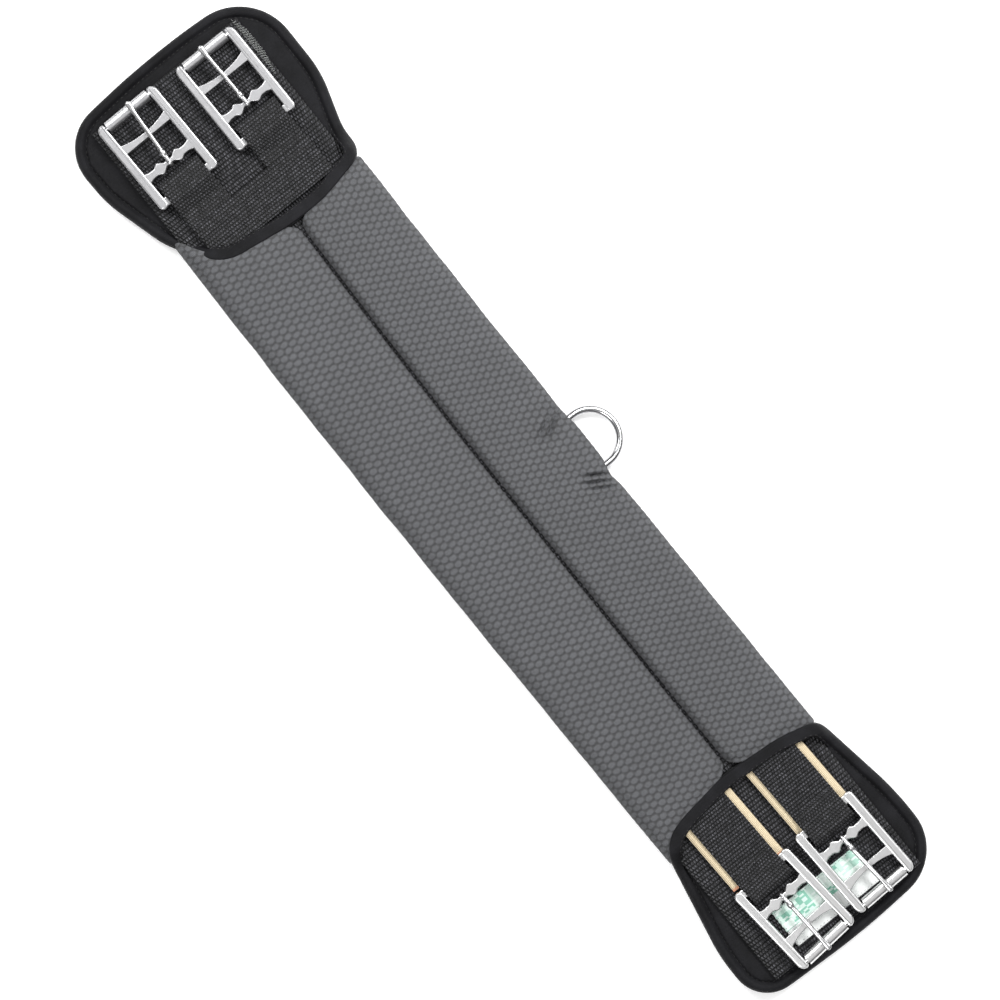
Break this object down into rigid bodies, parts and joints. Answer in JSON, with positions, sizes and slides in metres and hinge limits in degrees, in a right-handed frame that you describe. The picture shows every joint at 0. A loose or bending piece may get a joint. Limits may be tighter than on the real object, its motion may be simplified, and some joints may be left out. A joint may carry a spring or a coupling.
{
  "type": "saddle girth",
  "caption": "Neoprene-covered saddle girth with bound end pads, roller buckles on webbing at one end and on elastic at the other, and a D-ring on the edge of its body.",
  "frame": {"origin": "underside of the body, at the middle of its length and width", "axes": "+X from the plain end to the elastic end, +Y across the girth towards the D-ring, +Z away from the horse"},
  "size_m": [0.6229, 0.1443, 0.021],
  "materials": {
    "grey_neoprene": "matt knitted face with a raised diamond grid",
    "black_neoprene": "matt smooth jersey face",
    "black_binding": "matt stretch binding, slight sheen",
    "foam": "closed-cell sponge, never seen",
    "black_webbing": "ribbed flat-woven webbing",
    "cream_elastic": "woven elastic, natural rubber colour",
    "label_cloth": "satin-woven label, blank colour blocks",
    "satin_nickel": "satin nickel, bright at the edges",
    "polished_steel": "polished cast steel",
    "ring_chrome": "polished bright plating"
  },
  "bodies": {
    "root": {"outer_cover": "grey_neoprene", "foam_core": "foam", "main_webbing": "black_webbing", "woven_label": "label_cloth", "d_ring_tab": "black_webbing", "plain_pad_lining": "black_neoprene", "plain_pad_foam": "foam", "plain_pad_facing": "black_neoprene", "plain_pad_binding": "black_binding", "elastic_pad_lining": "black_neoprene", "elastic_pad_foam": "foam", "elastic_pad_facing": "black_neoprene", "elastic_pad_binding": "black_binding", "plain_strap_patch": "black_webbing", "plain_upper_strap": "black_webbing", "plain_lower_strap": "black_webbing", "elastic_upper_strap": "black_webbing", "elastic_upper_band": "cream_elastic", "elastic_lower_strap": "black_webbing", "elastic_lower_band": "cream_elastic"},
    "d_ring": {"d_ring": "ring_chrome"},
    "plain_upper_buckle": {"plain_upper_strap_loop": "black_webbing", "plain_upper_buckle_frame": "satin_nickel"},
    "plain_upper_buckle_tongue": {"plain_upper_buckle_tongue": "satin_nickel"},
    "plain_upper_buckle_roller": {"plain_upper_buckle_roller": "satin_nickel"},
    "plain_lower_buckle": {"plain_lower_strap_loop": "black_webbing", "plain_lower_buckle_frame": "satin_nickel"},
    "plain_lower_buckle_tongue": {"plain_lower_buckle_tongue": "satin_nickel"},
    "plain_lower_buckle_roller": {"plain_lower_buckle_roller": "satin_nickel"},
    "elastic_upper_tab": {"elastic_upper_strap_tab": "black_webbing"},
    "elastic_upper_buckle": {"elastic_upper_strap_loop": "black_webbing", "elastic_upper_buckle_frame": "polished_steel"},
    "elastic_upper_buckle_tongue": {"elastic_upper_buckle_tongue": "polished_steel"},
    "elastic_upper_buckle_roller": {"elastic_upper_buckle_roller": "polished_steel"},
    "elastic_lower_tab": {"elastic_lower_strap_tab": "black_webbing"},
    "elastic_lower_buckle": {"elastic_lower_strap_loop": "black_webbing", "elastic_lower_buckle_frame": "polished_steel"},
    "elastic_lower_buckle_tongue": {"elastic_lower_buckle_tongue": "polished_steel"},
    "elastic_lower_buckle_roller": {"elastic_lower_buckle_roller": "polished_steel"}
  },
  "joints": [
    {"name": "d_ring_swing", "type": "hinge", "parent": "root", "child": "d_ring", "pos_m": [0.0058, 0.0533, 0.0079], "axis": [1, 0, 0], "range_deg": [-16, 44]},
    {"name": "plain_upper_lift", "type": "hinge", "parent": "root", "child": "plain_upper_buckle", "pos_m": [-0.229, 0.0276, 0.0124], "axis": [0, 1, 0], "range_deg": [0, 75]},
    {"name": "plain_upper_tongue_swing", "type": "hinge", "parent": "plain_upper_buckle", "child": "plain_upper_buckle_tongue", "pos_m": [-0.2565, 0.0276, 0.01501], "axis": [0, 1, 0], "range_deg": [0, 100]},
    {"name": "plain_upper_roller_spin", "type": "hinge", "parent": "plain_upper_buckle", "child": "plain_upper_buckle_roller", "pos_m": [-0.2924, 0.0276, 0.01501], "axis": [0, 1, 0], "continuous": true},
    {"name": "plain_lower_lift", "type": "hinge", "parent": "root", "child": "plain_lower_buckle", "pos_m": [-0.2305, -0.02551, 0.0124], "axis": [-0.0105, 0.9999, 0], "range_deg": [0, 75]},
    {"name": "plain_lower_tongue_swing", "type": "hinge", "parent": "plain_lower_buckle", "child": "plain_lower_buckle_tongue", "pos_m": [-0.258, -0.0258, 0.01501], "axis": [-0.0105, 0.9999, 0], "range_deg": [0, 100]},
    {"name": "plain_lower_roller_spin", "type": "hinge", "parent": "plain_lower_buckle", "child": "plain_lower_buckle_roller", "pos_m": [-0.2939, -0.02618, 0.01501], "axis": [-0.0105, 0.9999, 0], "continuous": true},
    {"name": "elastic_upper_stretch", "type": "slide", "parent": "root", "child": "elastic_upper_tab", "axis": [1, 0, 0], "range_m": [0, 0.025], "stiffness_N_per_m": 4000, "deforming": ["elastic_upper_band", "elastic_upper_strap"]},
    {"name": "elastic_upper_lift", "type": "hinge", "parent": "elastic_upper_tab", "child": "elastic_upper_buckle", "pos_m": [0.24171, 0.02698, 0.013], "axis": [0.0314, -0.9995, 0], "range_deg": [0, 60]},
    {"name": "elastic_upper_tongue_swing", "type": "hinge", "parent": "elastic_upper_buckle", "child": "elastic_upper_buckle_tongue", "pos_m": [0.2645, 0.0277, 0.01501], "axis": [0.0314, -0.9995, 0], "range_deg": [0, 100]},
    {"name": "elastic_upper_roller_spin", "type": "hinge", "parent": "elastic_upper_buckle", "child": "elastic_upper_buckle_roller", "pos_m": [0.29878, 0.02878, 0.01501], "axis": [0.0314, -0.9995, 0], "continuous": true},
    {"name": "elastic_lower_stretch", "type": "slide", "parent": "root", "child": "elastic_lower_tab", "axis": [1, 0, 0], "range_m": [0, 0.025], "stiffness_N_per_m": 4000, "deforming": ["elastic_lower_band", "elastic_lower_strap"]},
    {"name": "elastic_lower_lift", "type": "hinge", "parent": "elastic_lower_tab", "child": "elastic_lower_buckle", "pos_m": [0.24527, -0.01969, 0.013], "axis": [0.0785, -0.9969, 0], "range_deg": [0, 60]},
    {"name": "elastic_lower_tongue_swing", "type": "hinge", "parent": "elastic_lower_buckle", "child": "elastic_lower_buckle_tongue", "pos_m": [0.268, -0.0179, 0.01501], "axis": [0.0785, -0.9969, 0], "range_deg": [0, 100]},
    {"name": "elastic_lower_roller_spin", "type": "hinge", "parent": "elastic_lower_buckle", "child": "elastic_lower_buckle_roller", "pos_m": [0.30219, -0.01521, 0.01501], "axis": [0.0785, -0.9969, 0], "continuous": true}
  ]
}
